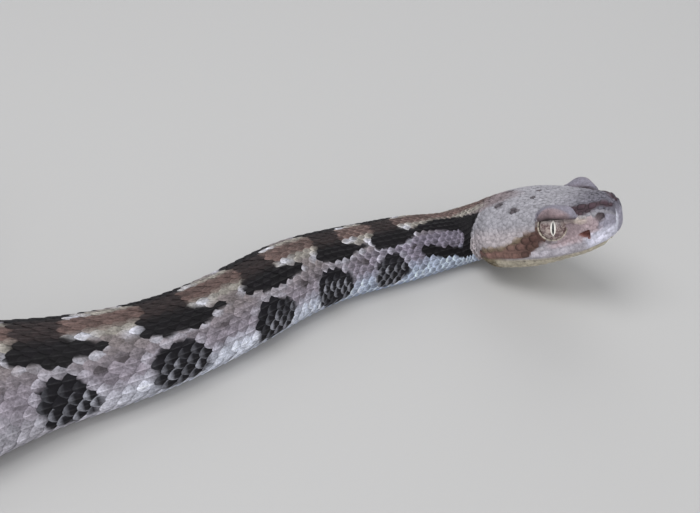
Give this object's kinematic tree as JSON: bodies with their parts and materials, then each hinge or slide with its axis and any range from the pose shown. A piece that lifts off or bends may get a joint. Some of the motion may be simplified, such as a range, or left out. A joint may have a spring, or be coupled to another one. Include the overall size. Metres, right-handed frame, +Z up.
{
  "type": "young timber rattlesnake",
  "caption": "Life-size young rattlesnake lying on level ground, hind body in a loose flat coil, neck and raised broad head reaching out of it, short rattle on the tail.",
  "frame": {"origin": "centre of the whole snake's footprint, on the ground", "axes": "+Z up from the ground; +X along the longest extent, from the coil to the head; +Y to the far side of the head from the viewer"},
  "size_m": [0.1878, 0.09, 0.0214],
  "materials": {
    "body_scales": "dull keeled scales, grey-lilac with black saddles and a brown stripe down the back",
    "head_scales": "dull small scales, grey-brown with a dark band behind each eye",
    "jaw_scales": "smooth pale scales",
    "tail_scales": "dull keeled scales, black",
    "eye": "wet-looking clear cap over a grey-brown iris with an upright slit pupil",
    "rattle_horn": "dull yellow-brown horn"
  },
  "bodies": {
    "root": {"head": "head_scales", "lower_jaw": "jaw_scales", "eye_left": "eye", "eye_right": "eye", "neck": "body_scales", "body_1": "body_scales", "body_2": "body_scales", "body_3": "body_scales", "body_4": "body_scales", "body_5": "body_scales", "body_6": "body_scales", "body_7": "body_scales", "body_8": "body_scales", "tail": "tail_scales", "rattle_1": "rattle_horn", "rattle_2": "rattle_horn", "rattle_3": "rattle_horn"}
  },
  "joints": []
}
